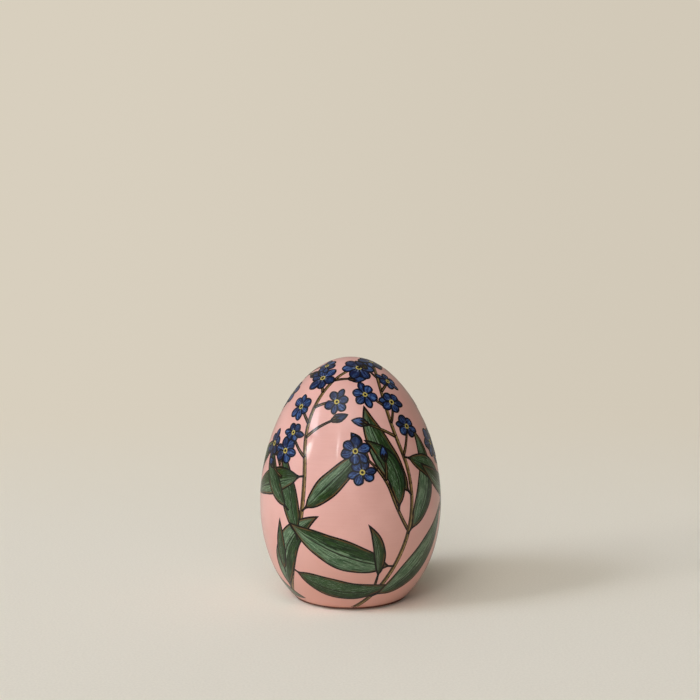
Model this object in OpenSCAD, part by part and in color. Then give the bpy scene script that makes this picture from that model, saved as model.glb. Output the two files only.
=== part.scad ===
// Decorative standing egg of lacquered papier mache.
// Two moulded paper shells are glued rim to rim over an inner card collar. A paper tape
// bridges the seam outside, and a gesso ground with its paint and lacquer hides it all.
// The blunt end is cut flat as a foot, and a felt pad is glued into it.
// +Z is up, the origin is the middle of the felt's underside, and lengths are millimetres.

/* [Egg] */
// Length of the whole egg curve, from its blunt end to its tip
egg_length = 68; // [60:1:90]
// Breadth at the widest girth, over the finish
egg_breadth = 47; // [42:1:60]
// How far the widest girth lies below the middle of the length
girth_drop = 3.8; // [1:0.1:6]
// How much of the blunt end is cut away to make the foot
foot_cut = 6; // [4:0.5:8]

/* [Paper shells] */
// Wall of the two moulded shells
shell_wall = 3; // [2:0.25:4]

/* [Glued joint] */
// Height of the inner card collar that bridges the joint
collar_height = 12; // [8:1:16]
// Thickness of the collar's card
collar_wall = 1.2; // [0.8:0.1:2]
// Width of the paper tape pasted over the seam outside
tape_width = 9; // [6:0.5:14]
// Thickness of the tape
tape_thickness = 0.25; // [0.15:0.05:0.4]
// Thickness of the glue between pieces that are pasted together
glue_line = 0.05; // [0.02:0.01:0.1]

/* [Gesso and lacquer finish] */
// Thickness of the gesso ground, paint and lacquer together
coat_thickness = 0.6; // [0.45:0.05:0.7]
// How far the finish is turned in under the foot
coat_lap = 3; // [2:0.5:5]
// Height of the upright rim where the finish gathers round the foot
rim_height = 0.4; // [0.3:0.05:0.6]
// Rounding under that rim
rim_round = 0.15; // [0.1:0.05:0.25]

/* [Felt pad] */
// Thickness of the felt, which stands out a little below the finish
felt_thickness = 0.9; // [0.8:0.05:1.5]
// Gap round the felt, inside the turned-in finish
felt_gap = 0.3; // [0.1:0.05:0.6]

/* [Hidden] */

// Segments of the egg curve, and of the small arc under the rim
curve_steps = 72;
arc_steps = 6;
$fn = 96;

// Room by which a cutter runs past what it cuts
overrun = 1;

paper_colour = [0.72, 0.66, 0.55];
card_colour = [0.62, 0.52, 0.39];
tape_colour = [0.90, 0.86, 0.76];
pink_colour = [0.87, 0.64, 0.60];
felt_colour = [0.24, 0.19, 0.15];

// Heights in the part's frame: the egg curve's blunt end lies below the floor
shell_foot_z = felt_thickness + glue_line;
shell_floor_z = shell_foot_z + shell_wall;
foot_z = shell_foot_z - coat_thickness;
blunt_z = foot_z - foot_cut;
girth_z = blunt_z + egg_length / 2 - girth_drop;
tip_z = blunt_z + egg_length;

// The egg curve: t runs from 0 degrees at the blunt end to 180 at the tip.
// The radius is half the breadth exactly at the girth, whatever the drop.
function spread(t) = pow(egg_length, 2) - 4 * girth_drop * egg_length * cos(t) + 4 * pow(girth_drop, 2);
function curve_r(t) = egg_breadth / 2 * egg_length * sin(t) / sqrt(spread(t));
function curve_z(t) = blunt_z + egg_length / 2 * (1 - cos(t));

// How the radius and the height change with t, which gives the outward normal
function slope_r(t) = egg_breadth / 2 * egg_length * pow(spread(t), -1.5)
    * (cos(t) * spread(t) - 2 * girth_drop * egg_length * pow(sin(t), 2));
function slope_z(t) = egg_length / 2 * sin(t);
function outward(t) = [slope_z(t), -slope_r(t)] / norm([slope_z(t), slope_r(t)]);

// A point of the curve, moved inwards by an inset, and the whole curve as a list
function inset_point(t, inset) = [curve_r(t), curve_z(t)] - inset * outward(t);
function inset_curve(inset, first_t = 0) =
    [for (i = [0:curve_steps]) inset_point(first_t + i / curve_steps * (180 - first_t), inset)];

// Where the curve reaches a height, for the outer surface alone
function t_at(z) = acos(1 - 2 * (z - blunt_z) / egg_length);

// The collar's seat has the radius that the cavity has at the girth
cavity_r = egg_breadth / 2 - coat_thickness - shell_wall;
rim_t = t_at(foot_z + rim_height);
rim_r = curve_r(rim_t);
lap_r = rim_r - coat_lap;
felt_r = lap_r - felt_gap;

// A whole egg, with every wall moved inwards by an inset
module egg(inset) {
    rotate_extrude() polygon(inset_curve(inset));
}

// What lies between two heights, wide enough for the whole egg
module band(low_z, high_z) {
    translate([0, 0, low_z]) cylinder(r = egg_breadth, h = high_z - low_z);
}

// The finished outside: the egg curve on its upright rim, closed flat at the foot
module finished_outside() {
    arc_centre = [rim_r - rim_round, foot_z + rim_round];
    arc = [for (i = [0:arc_steps]) let (a = -90 + i / arc_steps * 90)
        arc_centre + rim_round * [cos(a), sin(a)]];
    rotate_extrude() polygon(concat([[0, foot_z]], arc, inset_curve(0, rim_t)));
}

// The outside of the two bare shells before the tape's rebate is sanded in
module shells_outside() {
    intersection() {
        egg(coat_thickness);
        band(shell_foot_z, tip_z + overrun);
    }
}

// The air inside: the shells' cavity with its flat floor
module cavity() {
    intersection() {
        egg(coat_thickness + shell_wall);
        band(shell_floor_z, tip_z);
    }
}

// The straight seat that the collar is glued into, centred on the girth
module collar_seat() {
    translate([0, 0, girth_z - collar_height / 2 - glue_line])
        cylinder(r = cavity_r, h = collar_height + 2 * glue_line);
}

// A ring under the finish, between two insets, that is as wide as the tape
module tape_ring(outer_inset, inner_inset, width) {
    difference() {
        intersection() {
            egg(outer_inset);
            band(girth_z - width / 2, girth_z + width / 2);
        }
        egg(inner_inset);
    }
}

module shell_walls() {
    difference() {
        shells_outside();
        cavity();
        collar_seat();
        tape_ring(coat_thickness - overrun, coat_thickness + tape_thickness + glue_line, tape_width);
    }
}

module lower_shell() {
    color(paper_colour) intersection() {
        shell_walls();
        band(blunt_z, girth_z - glue_line / 2);
    }
}

module upper_shell() {
    color(paper_colour) intersection() {
        shell_walls();
        band(girth_z + glue_line / 2, tip_z + overrun);
    }
}

module joint_collar() {
    color(card_colour) translate([0, 0, girth_z - collar_height / 2]) difference() {
        cylinder(r = cavity_r - glue_line, h = collar_height);
        translate([0, 0, -overrun])
            cylinder(r = cavity_r - glue_line - collar_wall, h = collar_height + 2 * overrun);
    }
}

module seam_tape() {
    color(tape_colour)
        tape_ring(coat_thickness, coat_thickness + tape_thickness, tape_width - 2 * glue_line);
}

module ground_coat() {
    color(pink_colour) difference() {
        finished_outside();
        shells_outside();
        translate([0, 0, foot_z - overrun]) cylinder(r = lap_r, h = coat_thickness + 2 * overrun);
    }
}

module felt_pad() {
    color(felt_colour) cylinder(r = felt_r, h = felt_thickness);
}

lower_shell();
upper_shell();
joint_collar();
seam_tape();
ground_coat();
felt_pad();
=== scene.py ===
# %% [markdown]
# # A painted and lacquered egg
# This lesson dresses a small ornament egg that stands on a flat foot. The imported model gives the
# construction: two paper shells, a card collar, a paper tape, the skin of gesso and lacquer, and
# a felt pad. Added here is what the eye sees: the pink ground, the brushed sprays of leaves and
# blossoms, the clear gloss over them, and the felt. Lengths are in metres, in the model's frame.

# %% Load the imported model
import math
import random
from collections import namedtuple

import bmesh
import bpy
import numpy as np
from bpy.types import NodeSocket
from mathutils import Color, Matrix, Quaternion, Vector, noise as space_noise


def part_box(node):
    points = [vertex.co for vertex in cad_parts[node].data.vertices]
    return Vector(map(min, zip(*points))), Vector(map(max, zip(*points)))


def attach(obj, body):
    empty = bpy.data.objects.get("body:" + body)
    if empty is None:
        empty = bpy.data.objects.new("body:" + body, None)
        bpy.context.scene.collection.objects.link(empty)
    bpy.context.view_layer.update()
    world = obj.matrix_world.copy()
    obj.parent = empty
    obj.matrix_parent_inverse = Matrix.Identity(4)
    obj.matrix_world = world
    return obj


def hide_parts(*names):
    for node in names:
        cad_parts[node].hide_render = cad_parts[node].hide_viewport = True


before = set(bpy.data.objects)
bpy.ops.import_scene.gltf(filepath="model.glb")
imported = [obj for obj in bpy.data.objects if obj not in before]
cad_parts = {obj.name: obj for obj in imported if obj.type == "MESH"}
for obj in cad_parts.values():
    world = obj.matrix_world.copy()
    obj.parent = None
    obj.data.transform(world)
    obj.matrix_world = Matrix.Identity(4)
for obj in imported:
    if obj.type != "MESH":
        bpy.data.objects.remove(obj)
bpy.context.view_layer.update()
scene = bpy.context.scene
print("nodes:", sorted(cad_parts))

# %% [markdown]
# ## The egg's own curve
# A turned egg is one curve spun round its axis. This curve is an ellipse whose widest place has
# slipped towards the blunt end, which is cut off to make a foot. Four numbers fix it. Three are
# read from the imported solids, so that the paint lies exactly where the solid is. The cut can't be
# read from a solid that has lost it, so it is named here.

# %% Read the egg's sizes from the frame
mm = 0.001
foot_cut = 6 * mm

coat_low, coat_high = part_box("ground_coat")
tape_low, tape_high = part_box("seam_tape")
foot_z, tip_z = coat_low.z, coat_high.z
girth_z = (tape_low.z + tape_high.z) / 2
egg_breadth = coat_high.x - coat_low.x
blunt_z = foot_z - foot_cut
egg_length = tip_z - blunt_z
girth_drop = blunt_z + egg_length / 2 - girth_z
print(f"breadth {egg_breadth / mm:.1f}, curve {egg_length / mm:.1f}, drop {girth_drop / mm:.2f} mm")


# %% The curve as functions
def egg_radius_squared(z):
    """The square of the egg's radius at a height. It falls below zero past both ends."""
    turn = 1 - 2 * (z - blunt_z) / egg_length
    spread = egg_length**2 - 4 * girth_drop * egg_length * turn + 4 * girth_drop**2
    return (egg_breadth / 2 * egg_length) ** 2 * (1 - turn**2) / spread


def egg_radius_slope(z):
    """How fast that square grows with the height."""
    reach = 0.01 * mm
    return (egg_radius_squared(z + reach) - egg_radius_squared(z - reach)) / (2 * reach)


def onto_curve(point):
    """The nearest place on the spun curve, and the way straight out of it there."""
    place, corrections = point.copy(), 4
    for _ in range(corrections):
        miss = place.x**2 + place.y**2 - egg_radius_squared(place.z)
        slope = Vector((2 * place.x, 2 * place.y, -egg_radius_slope(place.z)))
        place -= miss / slope.length_squared * slope
    return place, slope.normalized()


def side_place(z):
    """The curve's place at a height, at y = 0."""
    return Vector((math.sqrt(max(egg_radius_squared(z), 0)), 0, z))


print(f"radius at the girth {side_place(girth_z).x / mm:.2f} mm")

# %% [markdown]
# ## The rounded foot
# Where the side meets the flat foot, the real egg was rubbed round. The rounding is an arc that
# leaves the curve smoothly and ends level with the foot. Its middle is found by halving: a place
# too low on the curve puts the middle too low as well. The paint needs a tenth of a millimetre,
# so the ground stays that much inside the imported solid.

# %% Find the rounding
paint_room = 0.1 * mm
foot_round = 3.5 * mm
halvings = 40

low, high = foot_z, girth_z
for _ in range(halvings):
    round_top, out = onto_curve(side_place((low + high) / 2))
    round_middle = round_top - foot_round * out
    if round_middle.z < foot_z + foot_round - paint_room:
        low = round_top.z
    else:
        high = round_top.z
round_from = math.atan2(out.z, out.x)


def onto_egg(point):
    """The nearest place on the egg with its rounded foot, and the way straight out there."""
    ring = Vector((point.x, point.y, 0)).normalized() * round_middle.x + Vector((0, 0, round_middle.z))
    out = (point - ring).normalized()
    if out.z < math.sin(round_from):
        return ring + foot_round * out, out
    return onto_curve(point)


print(f"the rounding starts {(round_top.z - foot_z) / mm:.2f} mm over the foot")


# %% [markdown]
# ## Tools for turned pieces
# Both the ground and the felt are round. They could be cut out of a cylinder, but a lathe is
# simpler: draw half an outline once and spin it. These helpers draw smooth runs of an outline,
# spin it into a closed shape and turn the shape into an object.

# %% Draw an outline
inside_steps = 48


def egg_outline(inset, from_z, steps):
    """Places up the egg's side at y = 0, from a height to the tip, moved inwards by an inset."""
    first = math.acos(1 - 2 * (from_z - blunt_z) / egg_length)
    places = []
    for t in np.linspace(first, math.pi, steps + 1):
        place, out = onto_curve(side_place(blunt_z + egg_length / 2 * (1 - math.cos(t))))
        places.append(place - inset * out)
    places[-1].x = 0
    return places


def arc(middle, radius, first, last, steps):
    """Places on an arc in the XZ plane, from one angle to another."""
    angles = np.linspace(first, last, steps + 1)
    return [middle + radius * Vector((math.cos(a), 0, math.sin(a))) for a in angles]


print(f"the side is {len(egg_outline(0, foot_z, inside_steps))} places long")


# %% Spin it and make an object
lathe_corner = math.radians(50)
merge_gap = 0.001 * mm


def new_piece(name, shape):
    """A finished mesh as an object of the scene, from a bmesh that is then freed."""
    mesh = bpy.data.meshes.new(name)
    shape.to_mesh(mesh)
    shape.free()
    piece = bpy.data.objects.new(name, mesh)
    scene.collection.objects.link(piece)
    print(f"{name}: {len(mesh.polygons)} faces")
    return piece


def smooth_with_corners(shape, angle):
    """Smooth shading, but edges that turn by more than an angle keep their corner."""
    for face in shape.faces:
        face.smooth = True
    for edge in shape.edges:
        edge.smooth = edge.calc_face_angle(0) < angle


def spin_outline(places, turns):
    """A closed shape spun round the egg's axis from an outline in the XZ plane."""
    shape = bmesh.new()
    verts = [shape.verts.new(place) for place in places]
    edges = [shape.edges.new(pair) for pair in zip(verts, verts[1:])]
    bmesh.ops.spin(shape, geom=verts + edges, cent=(0, 0, 0), axis=(0, 0, 1),
                   angle=2 * math.pi, steps=turns, use_merge=True)
    bmesh.ops.remove_doubles(shape, verts=shape.verts, dist=merge_gap)
    bmesh.ops.recalc_face_normals(shape, faces=shape.faces)
    smooth_with_corners(shape, lathe_corner)
    return shape


print("the lathe is ready")

# %% [markdown]
# ## The pink ground
# On the real egg this is one skin: white gesso, rubbed smooth, then pink paint, then lacquer. A
# sphere pulled into an egg would have its poles and rows in the wrong places. A spin goes round
# one axis, as the egg was turned, and is smooth enough for a clean reflection. Its outline closes
# the skin: down the inside, out under the foot, round the thin lip that the lacquer left, and up
# the outside.

# %% The outline of the ground
felt_low, felt_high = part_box("felt_pad")
shell_foot_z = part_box("lower_shell")[0].z
felt_gap = 0.3 * mm
coat_thickness = shell_foot_z - foot_z
lap_radius = felt_high.x + felt_gap
lip_round = 0.17 * mm
lip_top = 0.45 * math.pi
round_steps, lip_steps = 10, 6

ground_round = foot_round - paint_room
round_to = -math.asin(1 - 2 * lip_round / ground_round)
rounding = arc(round_middle, ground_round, round_to, round_from, round_steps)
lip_middle = Vector((rounding[0].x, 0, foot_z + lip_round))
lip = arc(lip_middle, lip_round, -math.pi / 2, lip_top, lip_steps)
inside = egg_outline(coat_thickness, foot_z + coat_thickness, inside_steps)[::-1]
inside = [place for place in inside if place.z > shell_foot_z]
lap = [Vector((inside[-1].x, 0, shell_foot_z)), Vector((lap_radius, 0, shell_foot_z)),
       Vector((lap_radius, 0, foot_z))]
print(f"the foot stands on a ring from {lap_radius / mm:.1f} to {lip_middle.x / mm:.1f} mm")

# %% Spin the ground
outside_steps, ground_turns = 150, 192

outline = inside + lap + lip + rounding + egg_outline(paint_room, round_top.z, outside_steps)[1:]
ground = new_piece("pink_ground", spin_outline(outline, ground_turns))

# %% [markdown]
# ## The felt
# Felt is matted wool, punched out of a sheet, so its edge is soft and a little uneven. A plain
# cylinder would draw a line like plastic under the foot. So it is spun with rounded edges, and
# each point is pressed in by up to four hundredths of a millimetre of noise. Pressing in only
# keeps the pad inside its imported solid.

# %% Spin the felt
felt_edge = 0.2 * mm
felt_lump = 0.04 * mm
lump_size = 0.5 * mm
felt_rings = 14
felt_edge_steps = 4
felt_turns = 96

flat_radius = felt_high.x - felt_edge
flat = np.linspace(0, flat_radius, felt_rings)[:-1]
low_corner = Vector((flat_radius, 0, felt_low.z + felt_edge))
high_corner = Vector((flat_radius, 0, felt_high.z - felt_edge))
felt_outline = [Vector((x, 0, felt_low.z)) for x in flat]
felt_outline += arc(low_corner, felt_edge, -math.pi / 2, 0, felt_edge_steps)
felt_outline += arc(high_corner, felt_edge, 0, math.pi / 2, felt_edge_steps)
felt_outline += [Vector((x, 0, felt_high.z)) for x in flat[::-1]]
felt_shape = spin_outline(felt_outline, felt_turns)

# %% Press it in
felt_shape.normal_update()
pushes = [vert.normal * felt_lump * (1 + space_noise.noise(vert.co / lump_size)) / 2
          for vert in felt_shape.verts]
for vert, push in zip(felt_shape.verts, pushes):
    vert.co -= push
felt = new_piece("pressed_felt", felt_shape)

# %% [markdown]
# ## Walking on the egg
# A brush doesn't know about flat paper. Each stem, leaf and petal is laid along a walk over the
# egg itself: step forward, drop back onto the surface, turn a little. A picture wrapped round
# the egg would be squeezed at the tip, and a walk stretches nothing. It is a list of stations,
# each with its place, the way ahead and the way out of the egg.

# %% Where to start and which way to face
def on_the_side(azimuth, height):
    """A place on the egg. Azimuth is in degrees, 0 at the front (-Y) and growing to the right."""
    angle = math.radians(azimuth)
    place = side_place(foot_z + height)
    return Vector((place.x * math.sin(angle), -place.x * math.cos(angle), place.z))


def facing(place, heading):
    """The way ahead for a heading in degrees, clockwise from the tip as seen from outside."""
    out = onto_egg(place)[1]
    up = (Vector((0, 0, 1)) - out.z * out).normalized()
    angle = math.radians(heading)
    return math.cos(angle) * up + math.sin(angle) * up.cross(out)


def turned(ahead, out, angle):
    """A way that is turned clockwise, in degrees, as seen from outside."""
    return Quaternion(out, -math.radians(angle)) @ ahead


# %% The walk
pace = 0.4 * mm
fewest_steps = 2


def walk(place, ahead, legs):
    """Stations over the egg. Each leg is its length and its whole turn, clockwise in degrees."""
    place, out = onto_egg(place)
    ahead = (ahead - ahead.dot(out) * out).normalized()
    stations = [(place, ahead, out)]
    for length, turn in legs:
        steps = max(round(length / pace), fewest_steps)
        for _ in range(steps):
            ahead = turned(ahead, out, turn / steps)
            place, out = onto_egg(place + ahead * (length / steps))
            ahead = (ahead - ahead.dot(out) * out).normalized()
            stations.append((place, ahead, out))
    return stations


def walked(stations, share):
    """The station at a share of the walk, between its two nearest ones."""
    at = min(max(share, 0), 1) * (len(stations) - 1)
    i = min(int(at), len(stations) - 2)
    before, after = stations[i], stations[i + 1]
    return [a.lerp(b, at - i) for a, b in zip(before, after)]


def walk_length(stations):
    return sum((b[0] - a[0]).length for a, b in zip(stations, stations[1:]))


start = on_the_side(0, 0)
over_the_egg = walk(start, facing(start, 0), [(tip_z, 0)])
print(f"a walk of {walk_length(over_the_egg) / mm:.1f} mm has {len(over_the_egg)} stations")


# %% [markdown]
# ## A stroke of paint
# Paint stands a little proud of what it lies on. A picture on the ground's surface would have no
# edge to catch the light. So each brushed shape is a thin closed film: a grid whose rows follow
# a walk and whose lanes spread to both sides, set down on the egg and then extruded. Each vertex
# carries where it lies, in two attributes that the materials read: `stroke` in millimetres
# (along, across, distance to the edge), and `share` (along 0 to 1, across -1 to 1, and one
# random tint for the whole stroke).

# %% An empty pot, and a hand that isn't quite steady
seed = 7
chance = random.Random(seed)
hand_rates = (4, 9, 19)
sides = (-1, 1)


def open_pot():
    """An empty mesh with the two attributes that each stroke fills."""
    pot = bmesh.new()
    pot.verts.layers.float_vector.new("stroke")
    pot.verts.layers.float_vector.new("share")
    return pot


def unsteady(strength):
    """How a hand strays from an outline: a factor for a share and a side, other each time."""
    waves = {side: [(rate, chance.uniform(0, 2 * math.pi)) for rate in hand_rates] for side in sides}

    def factor(share, side):
        strays = (math.sin(rate * share + phase) / math.sqrt(rate) for rate, phase in waves[side])
        return 1 + strength * sum(strays)
    return factor


stem_pot, leaf_pot, blossom_pot, eye_pot = open_pot(), open_pot(), open_pot(), open_pot()
print("four pots are open")


# %% How far a point lies from the outline of its stroke
line_points = 61


def edge_finder(half_width, hand, length):
    """A function that gives the distance from a place in a stroke to the stroke's outline."""
    shares = (1 - np.cos(np.linspace(0, np.pi, line_points))) / 2
    lines = {side: np.array([(s * length, half_width(s) * hand(s, side)) for s in shares])
             for side in sides}

    def gap(along, reach, side):
        return np.hypot(lines[side][:, 0] - along * length, lines[side][:, 1] - abs(reach)).min()
    return gap


# %% [markdown]
# ## Coats over coats
# Where two films share a height, a renderer can't tell which is on top and shows dirt. A painter
# has no such trouble, since each coat lies on the last. The script copies that: a coarse map of
# the egg remembers how many coats each spot has, and a new film is raised by one more than any
# spot that it covers. Its bottom reaches a little into the ground.

# %% Raise a film
coat_step = 0.006 * mm
under_ground = 0.02 * mm
spot = 0.8 * mm
coats = {}


def next_coat(verts):
    """How many coats a film on these places needs. The map of coats then has it too."""
    spots = {tuple(round(c / spot) for c in vert.co) for vert in verts}
    coat = 1 + max(coats.get(key, 0) for key in spots)
    coats.update((key, coat) for key in spots)
    return coat


def raise_film(pot, verts):
    """Give a sheet of places its thickness: its bottom just in the ground, its top on all coats."""
    top = paint_room - next_coat(verts) * coat_step
    faces = list({face for vert in verts for face in vert.link_faces})
    raised = bmesh.ops.extrude_face_region(pot, geom=faces)["geom"]
    for vert in verts:
        vert.co -= (paint_room + under_ground) * onto_egg(vert.co)[1]
    for vert in raised:
        if isinstance(vert, bmesh.types.BMVert):
            vert.co -= top * onto_egg(vert.co)[1]


# %% Lay a stroke
thinnest = 0.04 * mm
rim = 0.999


def lay_stroke(pot, stations, half_width, grid, stray=0.0, round_ends=True):
    """A closed film of paint along a walk. Rows crowd at round ends, where the outline bends most."""
    stroke, share = pot.verts.layers.float_vector["stroke"], pot.verts.layers.float_vector["share"]
    length, tint, hand = walk_length(stations), chance.random(), unsteady(stray)
    to_edge = edge_finder(half_width, hand, length)
    rows, lanes = grid
    verts = bmesh.ops.create_grid(pot, x_segments=rows, y_segments=lanes, size=1)["verts"]
    for vert in verts:
        along, across = (vert.co.x + 1) / 2, vert.co.y
        if round_ends:
            along = (1 - math.cos(math.pi * along)) / 2
        side = 1 if across > 0 else -1
        place, ahead, out = walked(stations, along)
        reach = max(half_width(along), thinnest) * hand(along, side) * across
        vert.co = onto_egg(place + out.cross(ahead) * reach)[0]
        gap = 0 if abs(across) > rim or along in (0, 1) else to_edge(along, reach, side)
        vert[stroke] = Vector((along * length, reach, gap)) / mm
        vert[share] = Vector((along, across, tint))
    raise_film(pot, verts)


# %% [markdown]
# ## Stems, leaves, blossoms and buds
# The ornament is a plain garden one: winding stems, pointed leaves in turn to left and right,
# open blossoms with six petals, and small buds. Each shape could be drawn point by point. A
# width that grows and shrinks along a walk says the same in one line, and bends without a new
# drawing. Blossoms don't all face the viewer, so each leans away by a share of its own, which
# makes it narrower one way.

# %% The widths of the strokes
# how late a shape is widest, and how pointed it is
leaf_shape, petal_shape, bud_shape = (0.78, 0.85), (1.25, 0.55), (0.7, 0.75)
leaf_stalk = 0.3 * mm
leaf_stalk_share = 0.07


def stem_width(start, end):
    return lambda share: start + (end - start) * share


def swelling(half, late, pointed):
    """A width that grows from nothing and shrinks to nothing again."""
    return lambda share: half * math.sin(math.pi * min(share, 1) ** late) ** pointed


def leaf_width(half):
    """A short stalk, then widest a little below the middle, and a long point."""
    blade = swelling(half, *leaf_shape)

    def width(share):
        blade_share = max(share - leaf_stalk_share, 0) / (1 - leaf_stalk_share)
        return max(blade(blade_share), leaf_stalk * (1 - share))
    return width


def round_width(half):
    return lambda share: half * math.sqrt(max(1 - (2 * share - 1) ** 2, 0))


widest = max(np.linspace(0, 1, line_points), key=swelling(1, *petal_shape))
print(f"a petal is widest at {widest:.2f} of its length")

# %% A blossom seen from aside
full_turn = 360
leans = (0.0, 0.36)


def leaned(angle, lean):
    """The angle, the length and the width that a petal shows when its blossom leans away."""
    a, narrow = math.radians(angle), 1 - lean
    length = math.hypot(math.cos(a), narrow * math.sin(a))
    width = math.hypot(math.sin(a), narrow * math.cos(a))
    return math.degrees(math.atan2(narrow * math.sin(a), math.cos(a))), length, width


print(f"the blossom that leans most is {1 - max(leans):.0%} as wide as it is long")

# %% Paint a blossom
petals = 6
petal_grid = (14, 8)
petal_stray = 0.08
petal_half_shares = (0.18, 0.21)
petal_lengths = (0.9, 1.1)
petal_start_share = 0.3
petal_turns = (-7, 7)
petal_bends = (-12, 12)
eye_share = 0.095
eye_grid = (10, 8)
eye_stray = 0.1


def paint_blossom(place, heading, size):
    """Petals round a middle, every second one on top, and the eye over them."""
    place, out = onto_egg(place)
    first = facing(place, heading)
    eye = eye_share * size
    lean = chance.uniform(*leans)
    for turn in [*range(0, petals, 2), *range(1, petals, 2)]:
        angle, length, width = leaned(turn * full_turn / petals + chance.uniform(*petal_turns), lean)
        ahead = turned(first, out, angle)
        legs = [(size / 2 * length * chance.uniform(*petal_lengths), chance.uniform(*petal_bends))]
        petal = walk(place + ahead * eye * petal_start_share, ahead, legs)
        half = size * width * chance.uniform(*petal_half_shares)
        lay_stroke(blossom_pot, petal, swelling(half, *petal_shape), petal_grid, petal_stray)
    disc = walk(place - first * eye, first, [(2 * eye, 0)])
    lay_stroke(eye_pot, disc, round_width(eye), eye_grid, eye_stray)


# %% Paint a bud
bud_half_share = 0.3
bud_bends = (-15, 15)
bud_grid = (12, 8)
bud_stray = 0.06
bract_half_share = 0.13
bract_length_share = 0.6
bract_start_share = 0.1
bract_angles = (-24, 24)
bract_grid = (10, 6)


def paint_bud(place, ahead, size):
    """A closed blossom with two small green bracts that hold it."""
    bud = walk(place, ahead, [(size, chance.uniform(*bud_bends))])
    lay_stroke(blossom_pot, bud, swelling(size * bud_half_share, *bud_shape), bud_grid, bud_stray)
    start, out = place - ahead * size * bract_start_share, onto_egg(place)[1]
    for angle in bract_angles:
        bract = walk(start, turned(ahead, out, angle), [(size * bract_length_share, -angle)])
        lay_stroke(leaf_pot, bract, swelling(size * bract_half_share, *bud_shape), bract_grid)


# %% [markdown]
# ## The sprays
# Five stems leave the foot, climb round the egg in the same sense and end under its tip, so that
# it is dressed from every side. Each has a side shoot and a short low shoot with one leaf. Leaves
# get smaller towards the end, where stalks carry the blossoms and buds, and every third one hangs
# back. Everything is planned first and painted afterwards, because a painter lays what is under
# something before what is over it.

# %% Plan a stem
main_stem, twig = 0.68 * mm, 0.44 * mm
thick_twig, thin_twig = 1.1 * twig, 0.8 * twig
stem_jobs, leaf_jobs, stalk_jobs, head_jobs = [], [], [], []


def plan_stem(jobs, place, ahead, legs, thick, thin):
    """Note a stem for painting, and give its stations."""
    stem = walk(place, ahead, [(length * mm, turn) for length, turn in legs])
    jobs.append((stem, stem_width(thick, thin)))
    return stem


def plan_branch(jobs, stem, share, turn, legs, thick=twig):
    """Note a thinner one that leaves a stem at a share of it, and give its stations."""
    place, ahead, out = walked(stem, share)
    return plan_stem(jobs, place, turned(ahead, out, turn), legs, thick, thin_twig)


# %% Plan its leaves
foot_margin = 0.7 * mm
turn_up = 8
first_leaf = 6 * mm
leaf_spacing = 9 * mm
spacing_shares = (0.8, 1.2)
leaf_half_shares = (0.105, 0.135)
leaf_lengths = (0.85, 1.1)
start_share = 1.05
loss_share = 0.5
# shares of the length and of the bend, from stalk to point
leaf_leg_shares = ((0.4, 0.3), (0.6, 0.7))
climbing_bends = (-70, 30)
hanging_every = 3
# ranges of the angle to the stem and of the bend
climbing = ((26, 50), climbing_bends)
hanging = ((95, 130), (-20, 60))


def lowest(blade, half):
    """How low a leaf reaches, its width included."""
    width, last = leaf_width(half), len(blade) - 1
    return min(station[0].z - width(i / last) for i, station in enumerate(blade))


def plan_leaf(station, angle, bends, size, side):
    """Note a leaf that leaves a station at an angle. One that would pass the foot is turned up."""
    place, ahead, out = station
    half = size * chance.uniform(*leaf_half_shares)
    bend = side * chance.uniform(*bends)
    legs = [(size * length, bend * turn) for length, turn in leaf_leg_shares]
    blade = walk(place, turned(ahead, out, side * angle), legs)
    while lowest(blade, half) < foot_z + foot_margin and angle > 0:
        angle -= turn_up
        blade = walk(place, turned(ahead, out, side * angle), legs)
    leaf_jobs.append((blade, half))


def plan_leaves(stem, last_share, length, side):
    """Leaves in turn to both sides of a stem, smaller towards its end. Every third one hangs."""
    whole, at, count = walk_length(stem), first_leaf, 0
    while at < last_share * whole:
        size = length * (start_share - loss_share * at / whole) * chance.uniform(*leaf_lengths)
        angles, bends = hanging if count % hanging_every == 1 else climbing
        plan_leaf(walked(stem, at / whole), chance.uniform(*angles), bends, size, side)
        side, at, count = -side, at + leaf_spacing * chance.uniform(*spacing_shares), count + 1


# %% Plan its blossoms and buds
stalk_bends = (-30, 10)


def plan_heads(stem, heads, side):
    """Blossoms and buds on stalks. Each has a share of the stem, a turn and a stalk length."""
    for share, turn, reach, kind in heads:
        legs = [(reach, side * chance.uniform(*stalk_bends))]
        stalk = plan_branch(stalk_jobs, stem, share, side * turn, legs)
        head_jobs.append((kind, stalk[-1]))


# %% Where each spray runs
# In millimetres and degrees: azimuth at the foot, heading, legs of (length, turn), first side of
# the leaves, leaf length
sprays = [
    (-70, 50, [(22, -14), (24, -30), (26, 44)], -1, 30),
    (2, 46, [(22, -10), (24, -34), (26, 40)], 1, 31),
    (74, 52, [(21, -16), (24, -26), (26, 46)], -1, 30),
    (146, 47, [(22, -12), (24, -32), (25, 42)], 1, 31),
    (218, 50, [(22, -15), (23, -30), (27, 44)], -1, 29),
]
# share of the stem, turn, stalk length, kind
top_heads = [(0.62, 44, 8, "blossom"), (0.69, -46, 8, "bud"), (0.74, 42, 6, "blossom"),
             (0.8, -46, 6, "blossom"), (0.86, 44, 5, "blossom"), (0.92, -40, 4, "bud"),
             (0.999, 0, 2, "blossom")]
shoot_heads = [(0.6, 44, 5, "bud"), (0.74, -44, 4, "blossom"), (0.88, 40, 4, "bud"),
               (0.999, 0, 1, "blossom")]
# share of the stem, turn, legs
side_shoot = (0.36, -50, [(11, 18), (13, -34)])
low_shoot = (0.1, -36, [(5, 12)])

# %% Plan the five sprays
stem_start = 0.4 * mm
leafy_share, shoot_leafy_share = 0.66, 0.6
shoot_leaf_share, low_leaf_share = 0.8, 0.5

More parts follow.
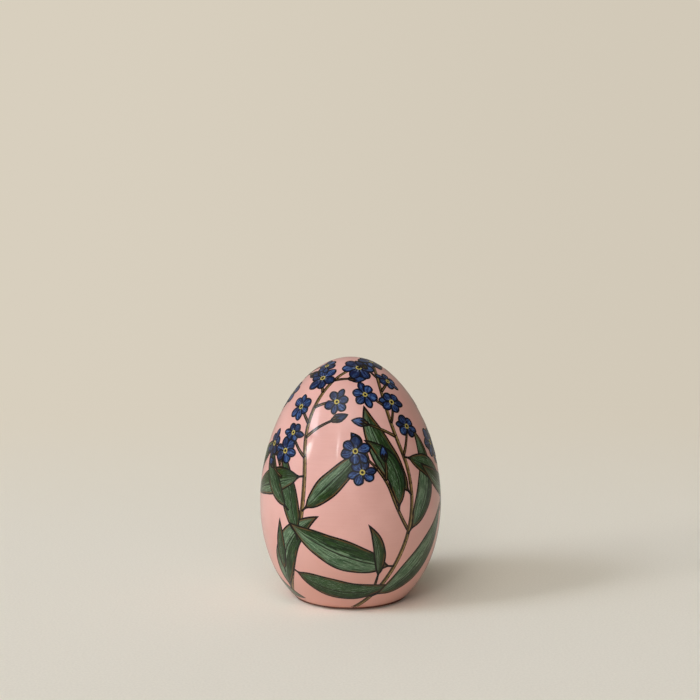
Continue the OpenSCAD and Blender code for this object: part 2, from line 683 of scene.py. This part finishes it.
for azimuth, heading, legs, side, leaf_length in sprays:
    foot = on_the_side(azimuth, stem_start)
    stem = plan_stem(stem_jobs, foot, facing(foot, heading), legs, main_stem, twig)
    plan_leaves(stem, leafy_share, leaf_length * mm, side)
    plan_heads(stem, top_heads, side)
    shoot = plan_branch(stem_jobs, stem, *side_shoot, thick_twig)
    plan_leaves(shoot, shoot_leafy_share, shoot_leaf_share * leaf_length * mm, side)
    plan_heads(shoot, shoot_heads, side)
    low_stem = plan_branch(stem_jobs, stem, *low_shoot)
    plan_leaf(low_stem[-1], 0, climbing_bends, low_leaf_share * leaf_length * mm, side)
print(f"{len(stem_jobs)} stems, {len(leaf_jobs)} leaves, {len(head_jobs)} blossoms and buds")

# %% [markdown]
# ## Painting
# The order is a painter's: stems, leaves over them, stalks, and last the blossoms and buds. All
# strokes of one paint are one piece, because thousands of small objects would be slow to handle,
# and on the real egg they can't be taken apart either.

# %% Paint the plan
stem_row = 0.7 * mm
fewest_rows = 4
stem_lanes = 4
stem_stray = 0.06
leaf_grid = (34, 12)
leaf_stray = 0.1
blossom_sizes = (6.6, 8.3)
bud_sizes = (3.6, 4.6)


def paint_stems(jobs):
    for stations, width in reversed(jobs):
        rows = max(round(walk_length(stations) / stem_row), fewest_rows)
        lay_stroke(stem_pot, stations, width, (rows, stem_lanes), stem_stray, round_ends=False)


paint_stems(stem_jobs)
for blade, half in leaf_jobs:
    lay_stroke(leaf_pot, blade, leaf_width(half), leaf_grid, leaf_stray, round_ends=False)
paint_stems(stalk_jobs)
for kind, (place, ahead, out) in head_jobs:
    if kind == "blossom":
        paint_blossom(place, chance.uniform(0, full_turn), chance.uniform(*blossom_sizes) * mm)
    else:
        paint_bud(place, ahead, chance.uniform(*bud_sizes) * mm)
print(f"{max(coats.values())} coats at most")

# %% The four pots become pieces
film_corner = math.radians(40)

for pot, name in ((stem_pot, "painted_stems"), (leaf_pot, "painted_leaves"),
                  (blossom_pot, "painted_blossoms"), (eye_pot, "blossom_eyes")):
    smooth_with_corners(pot, film_corner)
    new_piece(name, pot)

# %% [markdown]
# ## What each piece is
# Each new piece rides on the body that carries it. The whole egg is one body, because nothing on
# it moves. A piece may take the place of an imported solid, which is then hidden. The list of
# pieces also names a material slot for each, which nothing here reads.

# %% Attach the pieces to the egg's body
slots = {"pink_ground": "pink_lacquer", "painted_stems": "stem_paint", "painted_leaves": "leaf_paint",
         "painted_blossoms": "blossom_paint", "blossom_eyes": "blossom_paint", "pressed_felt": "felt"}
for name, slot in slots.items():
    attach(bpy.data.objects[name], "root")
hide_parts("ground_coat")
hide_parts("felt_pad")
print(f"{len(slots)} pieces ride on the egg")

# %% [markdown]
# ## Tools for the finishes
# All finishes are built from nodes, so they hold from near and far and need no picture file. The
# same few nodes come back in each: noise, a smooth ramp, one colour dabbed over another. With a
# short helper for each, a finish reads like a recipe. A new node finds its tree by the nodes that
# lead into it. Tones are red, green and blue from 0 to 255, as one reads them off a screen.

# %% Colours and new materials
screen_white = 255
middle_grey = (128, 128, 128)


def colour(tone):
    """A screen's tone as the linear values that nodes take. The output of a node stays as it is."""
    if isinstance(tone, NodeSocket):
        return tone
    return (*Color([part / screen_white for part in tone]).from_srgb_to_scene_linear(), 1)


def new_material(name, **shader):
    """A material whose shader has these constant values, such as Roughness=0.4."""
    material = bpy.data.materials.new(name)
    material.use_nodes = True
    for socket, value in shader.items():
        material.node_tree.nodes["Principled BSDF"].inputs[socket.replace("_", " ")].default_value = value
    return material


def into(owner, socket, value, name="Principled BSDF"):
    """Connect a value to a socket of a node that a material or world has from the start."""
    owner.node_tree.links.new(value, owner.node_tree.nodes[name].inputs[socket])


print("a middle grey is", round(colour(middle_grey)[0], 3))


# %% Single nodes
def node(kind, inputs, **settings):
    """One more node. Its inputs are values, or outputs of other nodes, whose tree it joins."""
    tree = next(value.id_data for value in inputs.values() if isinstance(value, NodeSocket))
    made = tree.nodes.new(kind)
    for name, value in settings.items():
        setattr(made, name, value)
    for name, value in inputs.items():
        if isinstance(value, NodeSocket):
            tree.links.new(value, made.inputs[name])
        else:
            made.inputs[name].default_value = value
    return made


def maths(operation, *values):
    return node("ShaderNodeMath", dict(enumerate(values)), operation=operation).outputs[0]


def length_of(vector):
    return node("ShaderNodeVectorMath", {0: vector}, operation="LENGTH").outputs["Value"]


def ramp(value, span, to=(0.0, 1.0)):
    """Goes smoothly from one value to another while its input crosses a span."""
    sockets = ("Value", "From Min", "From Max", "To Min", "To Max")
    return node("ShaderNodeMapRange", dict(zip(sockets, (value, *span, *to))),
                interpolation_type="SMOOTHSTEP").outputs[0]


# %% Colours over colours
def mix(share, below, above):
    """Colour above laid over colour below by a share."""
    factor, first, second, mixed = 0, 6, 7, 2
    inputs = {factor: share, first: colour(below), second: colour(above)}
    return node("ShaderNodeMix", inputs, data_type="RGBA").outputs[mixed]


def wash(base, tone, first, second):
    """A tone laid over a base by the product of two shares."""
    return mix(maths("MULTIPLY", first, second), base, tone)


def dab(base, layer, value):
    """A layer laid over a base. It holds its tone, the span of the value, and its most."""
    tone, span, most = layer
    return mix(ramp(value, span, (0.0, most)), base, tone)


# %% Noise, and where it lies
# detail and roughness of the noise
cloudy, mottled, brushed = (2.0, 0.5), (3.0, 0.5), (3.0, 0.6)
fibrous, patchy, matted = (4.0, 0.7), (5.0, 0.7), (5.0, 0.75)


def noise(vector, rate=1.0, kind=cloudy):
    detail, roughness = kind
    inputs = {"Vector": vector, "Scale": rate, "Detail": detail, "Roughness": roughness}
    return node("ShaderNodeTexNoise", inputs).outputs["Fac"]


def source(owner, kind):
    """The outputs of a new node that needs no inputs."""
    return owner.node_tree.nodes.new(kind).outputs


def place_of(made, rates=(1, 1, 1)):
    """The piece's own coordinates in metres, multiplied by a rate along each axis."""
    where = source(made, "ShaderNodeTexCoord")["Object"]
    return node("ShaderNodeMapping", {"Vector": where, "Scale": rates}).outputs[0]


# %% Finish a material and put it on
rough_span = (0.3, 0.7)


def finish(made, base, marks, relief, roughness):
    """Connect a colour, and the marks in it: they turn the roughness and stand up as a relief."""
    into(made, "Base Color", base)
    into(made, "Roughness", ramp(marks, rough_span, roughness))
    into(made, "Normal", node("ShaderNodeBump", {"Height": marks, "Distance": relief}).outputs[0])
    return made


def dress(names, material):
    for name in names:
        piece = bpy.data.objects[name]
        piece.data.materials.clear()
        piece.data.materials.append(material)
    print(f"{material.name}: {len(material.node_tree.nodes)} nodes, on {', '.join(names)}")


# %% [markdown]
# ## The lacquer
# Clear lacquer lies over everything. A glossy paint alone would be the short way, but the
# Principled shader's coat is made for this: a thin clear layer that reflects by itself over a
# paint that stays fairly matt. It is a little rough, as hand-brushed lacquer is, and weaker than
# glass, because old varnish is soft.

# %% Values of the lacquer
gloss = {"Coat_Weight": 0.65, "Coat_Roughness": 0.1, "Coat_IOR": 1.4, "Specular_IOR_Level": 0.05}
paint_roughness = (0.35, 0.5)
soft, firm, crisp, quick = (0.35, 0.65), (0.35, 0.62), (0.42, 0.56), (0.52, 0.6)
print(f"the lacquer reflects {gloss['Coat_Weight']:.0%} of what a full coat would")

# %% [markdown]
# ## The pink paint
# The pink was brushed round and round on the turning egg, so its faint streaks run level. Real
# streaks begin and end, so instead of stripes they are a noise pressed flat along the axis. A
# slow noise lets the tone drift, and a fine one gives the specks of rubbed gesso. Over the lower
# half the pink is painted darker and warmer towards the foot, as painted shade, and the band just
# over the foot a little peach. A dark line of painted shade runs round the lowest part of the
# lip, over the gap under the foot, and the ring that the egg stands on is rubbed through to the
# pale gesso.

# %% Marks round the foot
# a layer: its tone, the span of the value over which it comes in, and the most that it covers
# painted shade: darker and warmer over the lower half, towards the foot
painted_lower_shade = ((206, 148, 131), (foot_z + 26 * mm, foot_z + 2 * mm), 0.6)
# a little peach just over the foot
peach_band = ((214, 150, 128), (foot_z + 1.3 * mm, foot_z + 0.5 * mm), 0.8)
# painted shade: a dark line round the lowest part of the lip, over the gap under the foot
lip_shade_tone = (66, 40, 30)
lowest_span = (foot_z + 0.44 * mm, foot_z + 0.28 * mm)
lowest_shares = (0.0, 0.9)
lip_span = (lip_middle.x - 0.3 * mm, lip_middle.x - 0.05 * mm)
level_rates = (1, 1, 0)
worn_tone = (224, 204, 184)
worn_rate = 1300.0
worn_span = (0.4, 0.62)
worn_shares = (0.0, 0.7)


def foot_marks(made, base):
    """Painted shade low down, a peach band, painted shade round the lip, and the rubbed ring."""
    height = node("ShaderNodeSeparateXYZ", {"Vector": place_of(made)}).outputs["Z"]
    # painted shade low on the egg, then the peach band
    base = dab(dab(base, painted_lower_shade, height), peach_band, height)
    low = ramp(height, lowest_span, lowest_shares)
    at_lip = ramp(length_of(place_of(made, level_rates)), lip_span)
    # painted shade: the dark line round the lowest part of the lip
    base = wash(base, lip_shade_tone, low, at_lip)
    rubbed = ramp(noise(place_of(made), worn_rate, patchy), worn_span, worn_shares)
    under = maths("MULTIPLY", low, maths("SUBTRACT", 1.0, at_lip))
    return wash(base, worn_tone, under, rubbed)


# %% Mix the pink
pink_tones = ((215, 163, 153), (222, 170, 161))
streak = ((227, 176, 166), (0.42, 0.66), 0.14)
speck = ((201, 144, 131), (0.62, 0.74), 0.2)
streak_rates = (120, 120, 2600)
cloud_rate = 90.0
speck_rate = 2600.0
streak_relief = 0.006 * mm


def pink_lacquer():
    made = new_material("pink_lacquer", **gloss)
    streaks = noise(place_of(made, streak_rates), kind=brushed)
    base = mix(ramp(noise(place_of(made), cloud_rate), soft), *pink_tones)
    base = dab(base, streak, streaks)
    base = dab(base, speck, noise(place_of(made), speck_rate))
    return finish(made, foot_marks(made, base), streaks, streak_relief, paint_roughness)


dress(["pink_ground"], pink_lacquer())

# %% [markdown]
# ## Brush marks
# A loaded brush leaves fine lines that follow its stroke round every bend. Noise on the piece's
# own coordinates can't bend with a leaf, so the paints read what each stroke carries: their
# noise is drawn out along the stroke and fine across it, and differs by the stroke's tint. Each
# paint then gets the dark line of a fine brush round its shapes: the distance to the edge,
# swollen and thinned by noise, so that it looks drawn by hand.

# %% Marks that follow a stroke
Stroke = namedtuple("Stroke", "along across edge share side tint")
tint_spread = 50.0


def stroke_of(made):
    """What each stroke carries: three distances in millimetres, then its three shares."""
    values = []
    for name in ("stroke", "share"):
        carried = made.node_tree.nodes.new("ShaderNodeAttribute")
        carried.attribute_name = name
        values += node("ShaderNodeSeparateXYZ", {"Vector": carried.outputs["Vector"]}).outputs
    return Stroke(*values)


def bristles(stroke, aside, fine, long, other=0):
    """Brush marks: noise at a fine rate across the stroke and a long one along it."""
    sockets = {"X": maths("MULTIPLY", stroke.along, long), "Y": maths("MULTIPLY", aside, fine),
               "Z": maths("MULTIPLY_ADD", stroke.tint, tint_spread, other * tint_spread)}
    return noise(node("ShaderNodeCombineXYZ", sockets).outputs[0], kind=brushed)


print("a stroke carries", ", ".join(Stroke._fields))

# %% A paint for strokes
paint_relief = 0.012 * mm
# brush marks: their rates across the stroke and along it, and a number that tells some apart
line_marks = (1.0, 0.5)
line_swell = 0.36
line_fade = (0.24, 0.14)


def brush_on(piece, name, recipe, line, relief=paint_relief):
    """Mix a paint by its recipe, draw a line of a tone and a width in mm, and put it on a piece."""
    made = new_material(name, **gloss)
    stroke = stroke_of(made)
    base, marks = recipe(stroke)
    tone, width = line
    swell = bristles(stroke, stroke.edge, *line_marks)
    strayed = maths("MULTIPLY_ADD", swell, line_swell, stroke.edge)
    base = mix(ramp(strayed, [width + fade for fade in line_fade]), base, tone)
    dress([piece], finish(made, base, marks, relief, paint_roughness))


# %% [markdown]
# ## The stems
# A stem is a pull of olive brown with green patches where two paints met, and over it an ochre
# line on the lit side and a dark one next to it, which make a flat line look round. Light can't
# do it, because the paint stands up by a few hundredths of a millimetre only.

# %% Mix the stem paint
stem_tones = ((78, 54, 24), (130, 98, 54))
stem_marks = (9.0, 0.7)
patch_marks = (2.0, 0.2)
stem_green = ((66, 68, 30), (0.46, 0.56), 0.7)
stem_shade = ((64, 46, 22), (-0.2, 0.5), 0.5)
stem_shine = (182, 148, 92)
shine_side = (0.1, -0.25)
shine_shares = (0.1, 0.6)
stem_middle = ((52, 36, 18), (0.3, 0.16), 0.75)
middle_side = 0.15
stem_line = ((26, 16, 10), 0.3)
stem_relief = 0.01 * mm


def stem_paint(stroke):
    marks = bristles(stroke, stroke.across, *stem_marks)
    base = mix(ramp(marks, firm), *stem_tones)
    base = dab(base, stem_green, bristles(stroke, stroke.across, *patch_marks))
    base = dab(base, stem_shade, stroke.side)
    base = wash(base, stem_shine, ramp(stroke.side, shine_side), ramp(marks, crisp, shine_shares))
    off_middle = maths("ABSOLUTE", maths("SUBTRACT", stroke.side, middle_side))
    return dab(base, stem_middle, off_middle), marks


brush_on("painted_stems", "stem_paint", stem_paint, stem_line, stem_relief)

# %% [markdown]
# ## The leaves
# A leaf is built up in layers, as on the real egg: a dark half and a light half that meet in a
# straying line, hairs of dark green, flecks of a pale one, the rib, tips of ochre, and a brown
# fringe inside the outline. One noise over the whole leaf would be quicker, but would look
# printed. Each layer reads the stroke, so it bends with the leaf.

# %% The two halves of a leaf
leaf_light = ((62, 90, 62), (106, 130, 99))
leaf_dark = ((15, 34, 12), (36, 66, 24))
leaf_deep = ((38, 65, 29), (0.36, 0.28), 0.85)
leaf_olive = ((58, 66, 30), (0.4, 1.0), 0.4)
half_span = (0.38, 0.62)
parting_stray = 0.3
parting_span = (-0.06, 0.01)


def leaf_halves(marks, middle, tint):
    """The lit side and the side in shade, and the share that is 1 on the lit one."""
    light = dab(mix(ramp(marks, half_span), *leaf_light), leaf_deep, tint)
    dark = mix(ramp(marks, half_span), *leaf_dark)
    lit = ramp(maths("MULTIPLY_ADD", marks, parting_stray, middle), parting_span)
    return dab(mix(lit, dark, light), leaf_olive, tint), lit


# %% Its hairs, flecks and rib
hair_tone = (20, 34, 18)
fleck_tone = (146, 168, 140)
rib_tone = (24, 22, 14)
leaf_hair = (hair_tone, (0.53, 0.61), 0.75)
hair_marks = (18.0, 0.3, 3)
fleck_marks = (26.0, 0.5, 7)
# a fade: the span of a value, and the shares between which it goes there
fleck_fade = ((0.44, 0.34), (0.0, 0.75))
lit_fade = ((0, 1), (0.3, 1.0))
rib_fade = ((0.03, 0.07), (0.95, 0.0))
rib_end = (0.96, 0.8)


def leaf_hairs(base, stroke, lit):
    base = dab(base, leaf_hair, bristles(stroke, stroke.side, *hair_marks))
    flecks = bristles(stroke, stroke.side, *fleck_marks)
    return wash(base, fleck_tone, ramp(flecks, *fleck_fade), ramp(lit, *lit_fade))


def leaf_rib(base, middle, share):
    return wash(base, rib_tone, ramp(maths("ABSOLUTE", middle), *rib_fade), ramp(share, rib_end))


# %% Its tips and fringe
tip_tone = (72, 64, 24)
stalk_fade = ((0.2, 0.06), (0.0, 0.5))
point_fade = ((0.8, 1.0), (0.0, 0.7))
ochre_fade = ((0.4, 0.6), (0.3, 1.0))
leaf_edge = (hair_tone, (1.3, 0.4), 0.5)
fringe_tone = (110, 72, 34)
fringe_marks = (0.8, 0.16)
fringe_span = (0.78, 0.5)
fringe_fade = ((0.42, 0.54), (0.0, 0.75))


def leaf_tips(base, share, marks):
    ends = maths("ADD", ramp(share, *stalk_fade), ramp(share, *point_fade))
    return wash(base, tip_tone, ends, ramp(marks, *ochre_fade))


def leaf_fringe(base, stroke):
    """The paint gets darker towards the outline, and brown shows through along it in patches."""
    patches = ramp(bristles(stroke, stroke.side, *fringe_marks), *fringe_fade)
    return wash(dab(base, leaf_edge, stroke.edge), fringe_tone, ramp(stroke.edge, fringe_span), patches)


# %% Mix the leaf paint
leaf_marks = (8.0, 0.3)
rib_sides = (-0.2, 0.2)
leaf_line = ((18, 12, 8), 0.43)


def leaf_paint(stroke):
    marks = bristles(stroke, stroke.side, *leaf_marks)
    middle = maths("SUBTRACT", stroke.side, ramp(stroke.tint, (0, 1), rib_sides))
    base, lit = leaf_halves(marks, middle, stroke.tint)
    base = leaf_hairs(base, stroke, lit)
    base = leaf_rib(base, middle, stroke.share)
    base = leaf_tips(base, stroke.share, marks)
    return leaf_fringe(base, stroke), marks


brush_on("painted_leaves", "leaf_paint", leaf_paint, leaf_line)

# %% [markdown]
# ## The petals
# Each petal is deep blue with a lighter patch where it curls towards the light, dark hairs that
# run out from the eye, and a pale blush next to it. The blues differ from petal to petal, as
# they do where a brush is wiped and loaded again, so some are almost black.

# %% Mix the petal paint
petal_tones = ((13, 23, 64), (30, 52, 110))
petal_marks = (4.0, 0.5)
petal_line = ((8, 8, 14), 0.39)
petal_night = ((12, 18, 50), (0.2, 1.0), 0.7)
petal_hair = ((9, 13, 40), quick, 0.85)
petal_hair_marks = (9.0, 0.6, 5)
shine_tone = (72, 106, 158)
patch_side = (0.75, 0.2)
patch_fade = ((0.3, 0.55), (0.0, 0.9))
blush_tone = (132, 152, 188)
blush_fade = ((0.42, 0.2), (0.0, 0.8))
blush_span = (0.5, 0.4)


def petal_shine(base, stroke, marks):
    """The lighter patch in the outer middle of a petal, broken up by the brush marks."""
    middle = ramp(maths("ABSOLUTE", stroke.side), patch_side)
    patch = maths("MULTIPLY", middle, ramp(stroke.share, *patch_fade))
    return wash(base, shine_tone, patch, ramp(marks, crisp))


def petal_paint(stroke):
    marks = bristles(stroke, stroke.side, *petal_marks)
    hairs = bristles(stroke, stroke.side, *petal_hair_marks)
    base = petal_shine(mix(ramp(marks, firm), *petal_tones), stroke, marks)
    base = dab(dab(base, petal_night, stroke.tint), petal_hair, hairs)
    base = wash(base, blush_tone, ramp(stroke.share, *blush_fade), ramp(hairs, blush_span))
    return base, marks


brush_on("painted_blossoms", "blossom_paint", petal_paint, petal_line)

# %% [markdown]
# ## The eyes of the blossoms
# A dot of yellow with a dark one in it, both set with the tip of a brush. The inner dot needs no
# mesh of its own: it is where the distance to the edge of the outer dot is largest.

# %% Mix the eye paint
eye_tones = ((158, 142, 58), (208, 188, 102))
eye_marks = (5.0, 5.0)
eye_line = ((70, 76, 52), 0.02)
eye_dot = ((24, 20, 14), (0.42, 0.5), 1.0)
dot_stray = 0.25


def eye_paint(stroke):
    marks = bristles(stroke, stroke.across, *eye_marks)
    inwards = maths("MULTIPLY_ADD", marks, dot_stray, stroke.edge)
    return dab(mix(ramp(marks, soft), *eye_tones), eye_dot, inwards), marks


brush_on("blossom_eyes", "eye_paint", eye_paint, eye_line)

# %% [markdown]
# ## Paper, card and tape
# The shells are paper pulp, pressed in a mould, the collar is rolled card and the seam is closed
# with pasted paper. None shows from outside, but someone may open the model. They differ in
# little but their tone, so one recipe serves all: a mottled colour, and fibres that run more
# round the egg than up it.

# %% Mix the papers
fibre = ((120, 100, 74), (0.55, 0.7), 0.4)
fibre_rates = (900, 900, 2600)
mottle_rate = 160.0
paper_relief = 0.05 * mm
paper_roughness = (0.75, 0.95)


def paper(name, dark, pale):
    """Bare paper: fibres and a mottled tone, quite matt."""
    made = new_material(name)
    fibres = noise(place_of(made, fibre_rates), kind=fibrous)
    base = mix(ramp(noise(place_of(made), mottle_rate, mottled), soft), dark, pale)
    return finish(made, dab(base, fibre, fibres), fibres, paper_relief, paper_roughness)


dress(["lower_shell", "upper_shell"], paper("paper_pulp", (186, 174, 150), (206, 194, 170)))
dress(["joint_collar"], paper("card", (158, 132, 98), (176, 150, 116)))
dress(["seam_tape"], paper("tissue_paper", (222, 214, 190), (236, 230, 212)))

# %% [markdown]
# ## Felt
# Felt has no weave, only fibres in all directions, so its noise has the same rate along each
# axis. The shader's sheen gives the soft pale edge that the ends of the fibres make.

# %% Mix the felt
felt_tones = ((44, 34, 26), (86, 70, 56))
felt_shade = ((60, 48, 38), (0.4, 0.65), 0.4)
felt_rates = (2600, 2600, 2600)
felt_cloud_rate = 420.0
felt_sheen = {"Sheen_Weight": 0.4, "Sheen_Roughness": 0.5}
felt_relief = 0.08 * mm
felt_roughness = (0.85, 1.0)


def brown_felt():
    made = new_material("felt", **felt_sheen)
    fibres = noise(place_of(made, felt_rates), kind=matted)
    base = dab(mix(ramp(fibres, soft), *felt_tones), felt_shade,
               noise(place_of(made), felt_cloud_rate, mottled))
    return finish(made, base, fibres, felt_relief, felt_roughness)


dress(["pressed_felt"], brown_felt())

# %% [markdown]
# ## The sweep
# A photographer stands a small thing on a sheet that turns up behind it. Two planes would show a
# line between table and wall. This one is a flat grid whose rows are walked along floor, bend
# and wall. It rides on no body, so it isn't a part of the egg.

# %% Bend the sweep
bend_start = 300 * mm
bend_radius = 160 * mm
wall_top = 1200 * mm
floor_reach = 1600 * mm
sweep_columns = 2
sweep_rows = 160
bend_length = bend_radius * math.pi / 2


def sweep_point(distance):
    """A place on the sweep for a distance walked away from the viewer: floor, bend, wall."""
    if distance < bend_start:
        return distance, 0.0
    angle = min((distance - bend_start) / bend_radius, math.pi / 2)
    climbed = max(distance - bend_start - bend_length, 0)
    return bend_start + bend_radius * math.sin(angle), bend_radius * (1 - math.cos(angle)) + climbed


sweep = bmesh.new()
whole = floor_reach + bend_start + bend_length + wall_top
bmesh.ops.create_grid(sweep, x_segments=sweep_columns, y_segments=sweep_rows, size=1)
for vert in sweep.verts:
    distance = (vert.co.y + 1) / 2 * whole - floor_reach
    vert.co.x *= floor_reach
    vert.co.y, vert.co.z = sweep_point(distance)
smooth_with_corners(sweep, lathe_corner)
floor = new_piece("studio_sweep", sweep)

# %% [markdown]
# ## The look of the sweep
# The floor is plain and matt, and takes the egg's shadow. Behind the egg, lamps that suit the
# egg would make the wall too bright or too dark. There the sweep glows with a tone of its own
# instead of being lit, and the floor fades into it from a little behind the egg: painted light,
# which stands in for the light falling off behind the egg and is lighter on the left than on the
# right, as the light comes from the left. The camera sees the tone as written, and it gives about
# half of it as a light and in reflections, with less to the right, so that the shade on that side
# of the egg stays. The Light Path node tells the rays apart.

# %% Mix the sweep
floor_tones = ((240, 233, 220), (245, 238, 225))
# painted light on the glowing wall: its lit left tone and its shaded right tone
lit_left_wall = (216, 207, 190)
shaded_right_wall = (210, 201, 184)
weave_rate = 1800.0
wall_starts = (20 * mm, 320 * mm)
wall_turns = (-200 * mm, 200 * mm)
wall_fade = ((250 * mm, 800 * mm), (1.0, 0.3))
wall_light, mirrored_wall = 0.58, 0.45
floor_finish = {"Roughness": 0.9, "Specular_IOR_Level": 0.1}


def plain_sweep():
    made = new_material("plain_sweep", **floor_finish)
    into(made, "Base Color", mix(ramp(noise(place_of(made), weave_rate), rough_span), *floor_tones))
    where = node("ShaderNodeSeparateXYZ", {"Vector": place_of(made)}).outputs
    # painted light: the glowing wall goes from the lit left tone to the shaded right one
    tone = mix(ramp(where["X"], wall_turns), lit_left_wall, shaded_right_wall)
    rays = source(made, "ShaderNodeLightPath")
    unseen = ramp(rays["Is Glossy Ray"], (0, 1), (wall_light, mirrored_wall))
    dimmed = maths("MULTIPLY", ramp(where["X"], *wall_fade), unseen)
    level = maths("MAXIMUM", rays["Is Camera Ray"], dimmed)
    wall = node("ShaderNodeEmission", {"Color": tone, "Strength": level})
    matt = made.node_tree.nodes["Principled BSDF"]
    # painted light: from 20 mm behind the egg the floor fades into the glowing wall
    share = ramp(where["Y"], wall_starts)
    laid = node("ShaderNodeMixShader", {0: share, 1: matt.outputs[0], 2: wall.outputs[0]})
    into(made, "Surface", laid.outputs[0], "Material Output")
    return made


dress(["studio_sweep"], plain_sweep())

# %% [markdown]
# ## Lamps
# The gloss shows what the lamps look like, so they are panels with a shape: a wide cool window
# on the left with a bright core and a glint in it, a narrow gap of light beside it, a warm
# ceiling and a weak front. Blender's area lamps have edges that are hard in a reflection. A
# panel that glows most in its middle and fades to nothing mirrors as a soft haze. All stand far
# away, so that their light falls level on egg and floor alike.

# %% Build a panel
egg_middle = Vector((0, 0, (foot_z + tip_z) / 2))
panel_distance = 5000 * mm
fade_span = (1.0, 0.25)


def glow(name, strength, tint):
    """Light that is strongest in the middle of a panel and fades to its edge."""
    made = bpy.data.materials.new(name)
    made.use_nodes = True
    made.node_tree.nodes.clear()
    from_middle = length_of(source(made, "ShaderNodeTexCoord")["Object"])
    fade = ramp(from_middle, fade_span, (0.0, strength))
    emission = node("ShaderNodeEmission", {"Color": tint, "Strength": fade})
    node("ShaderNodeOutputMaterial", {"Surface": emission.outputs[0]})
    return made


def light_panel(name, azimuth, elevation, wide, high, strength, tint):
    """A panel that faces the egg. Its place and its size are degrees, as the egg sees them."""
    a, e = math.radians(azimuth), math.radians(elevation)
    way = Vector((math.sin(a) * math.cos(e), -math.cos(a) * math.cos(e), math.sin(e)))
    shape = bmesh.new()
    bmesh.ops.create_grid(shape, x_segments=1, y_segments=1, size=1)
    panel = new_piece(name, shape)
    panel.matrix_world = way.to_track_quat("Z", "Y").to_matrix().to_4x4()
    panel.location = egg_middle + way * panel_distance
    panel.scale = [panel_distance * math.tan(math.radians(size / 2)) for size in (wide, high)] + [1]
    panel.visible_camera = False
    dress([name], glow(name, strength, tint))


# %% Set up the panels
cool, warm, plain = (0.9, 1.0, 1.12, 1), (1.03, 1.0, 0.94, 1), (1, 1, 1, 1)
# name, azimuth, elevation, width, height, strength, tint
light_panel("window_panel", -66, 25, 84, 70, 1.2, cool)
light_panel("upper_window_panel", -60, 40, 50, 50, 1.3, cool)
light_panel("core_panel", -65, 37, 36, 34, 13.5, cool)
light_panel("glint_panel", -64, 23, 14, 18, 24.0, plain)
light_panel("strip_panel", -19, 29, 2, 24, 41.0, plain)
light_panel("top_panel", -30, 56, 84, 56, 2.75, warm)
light_panel("front_panel", -12, 20, 90, 44, 1.8, plain)

# %% [markdown]
# ## The dim room
# Outside the panels the room gives little light, or the shadow under the egg would be grey. The
# gloss sees a slightly brighter room, which takes the black out of its dark side, and the camera
# sees the colour of the sweep beyond the sweep's end.

# %% Set up the world
lit_level = 0.06
mirrored_level = 0.15
room_tone = (255, 252, 246)

world = bpy.data.worlds.new("studio_room")
scene.world = world
world.use_nodes = True
rays = source(world, "ShaderNodeLightPath")
level = maths("MULTIPLY_ADD", rays["Is Glossy Ray"], mirrored_level - lit_level, lit_level)
into(world, "Strength", maths("MAXIMUM", level, rays["Is Camera Ray"]), "Background")
into(world, "Color", mix(rays["Is Camera Ray"], room_tone, lit_left_wall), "Background")
print(f"{len(world.node_tree.nodes)} nodes in the room")

# %% [markdown]
# ## The camera
# The photo was taken from a little above the egg with a long lens. Turning the camera to the egg
# by eye would come near, but leave the foot's oval too flat or too round. So three things in the
# photo fix it: the row of the horizon, where level lines run to, gives the tilt, and the place
# and the width of the foot give the direction and the distance.

# %% Place the camera
picture_size, sensor = 700, 36
focal_pixels = 1310
horizon_row = 213
foot_column, foot_row = 350.47, 593.57
foot_distance = 348.4 * mm

middle_row = picture_size / 2
tilt = math.atan((middle_row - horizon_row) / focal_pixels)
below = math.atan((foot_row - middle_row) / focal_pixels)
depth = foot_distance * math.cos(below)
aside = (foot_column - middle_row) / focal_pixels * depth
camera_data = bpy.data.cameras.new("studio_camera")
camera_data.sensor_width = sensor
camera_data.lens = sensor * focal_pixels / picture_size
camera = bpy.data.objects.new("studio_camera", camera_data)
scene.collection.objects.link(camera)
camera.location = (-aside, -foot_distance * math.cos(tilt + below), foot_distance * math.sin(tilt + below))
camera.rotation_euler = (math.pi / 2 - tilt, 0, 0)
scene.camera = camera
scene.view_settings.view_transform = "Standard"
print("camera at", [round(c / mm, 1) for c in camera.location])
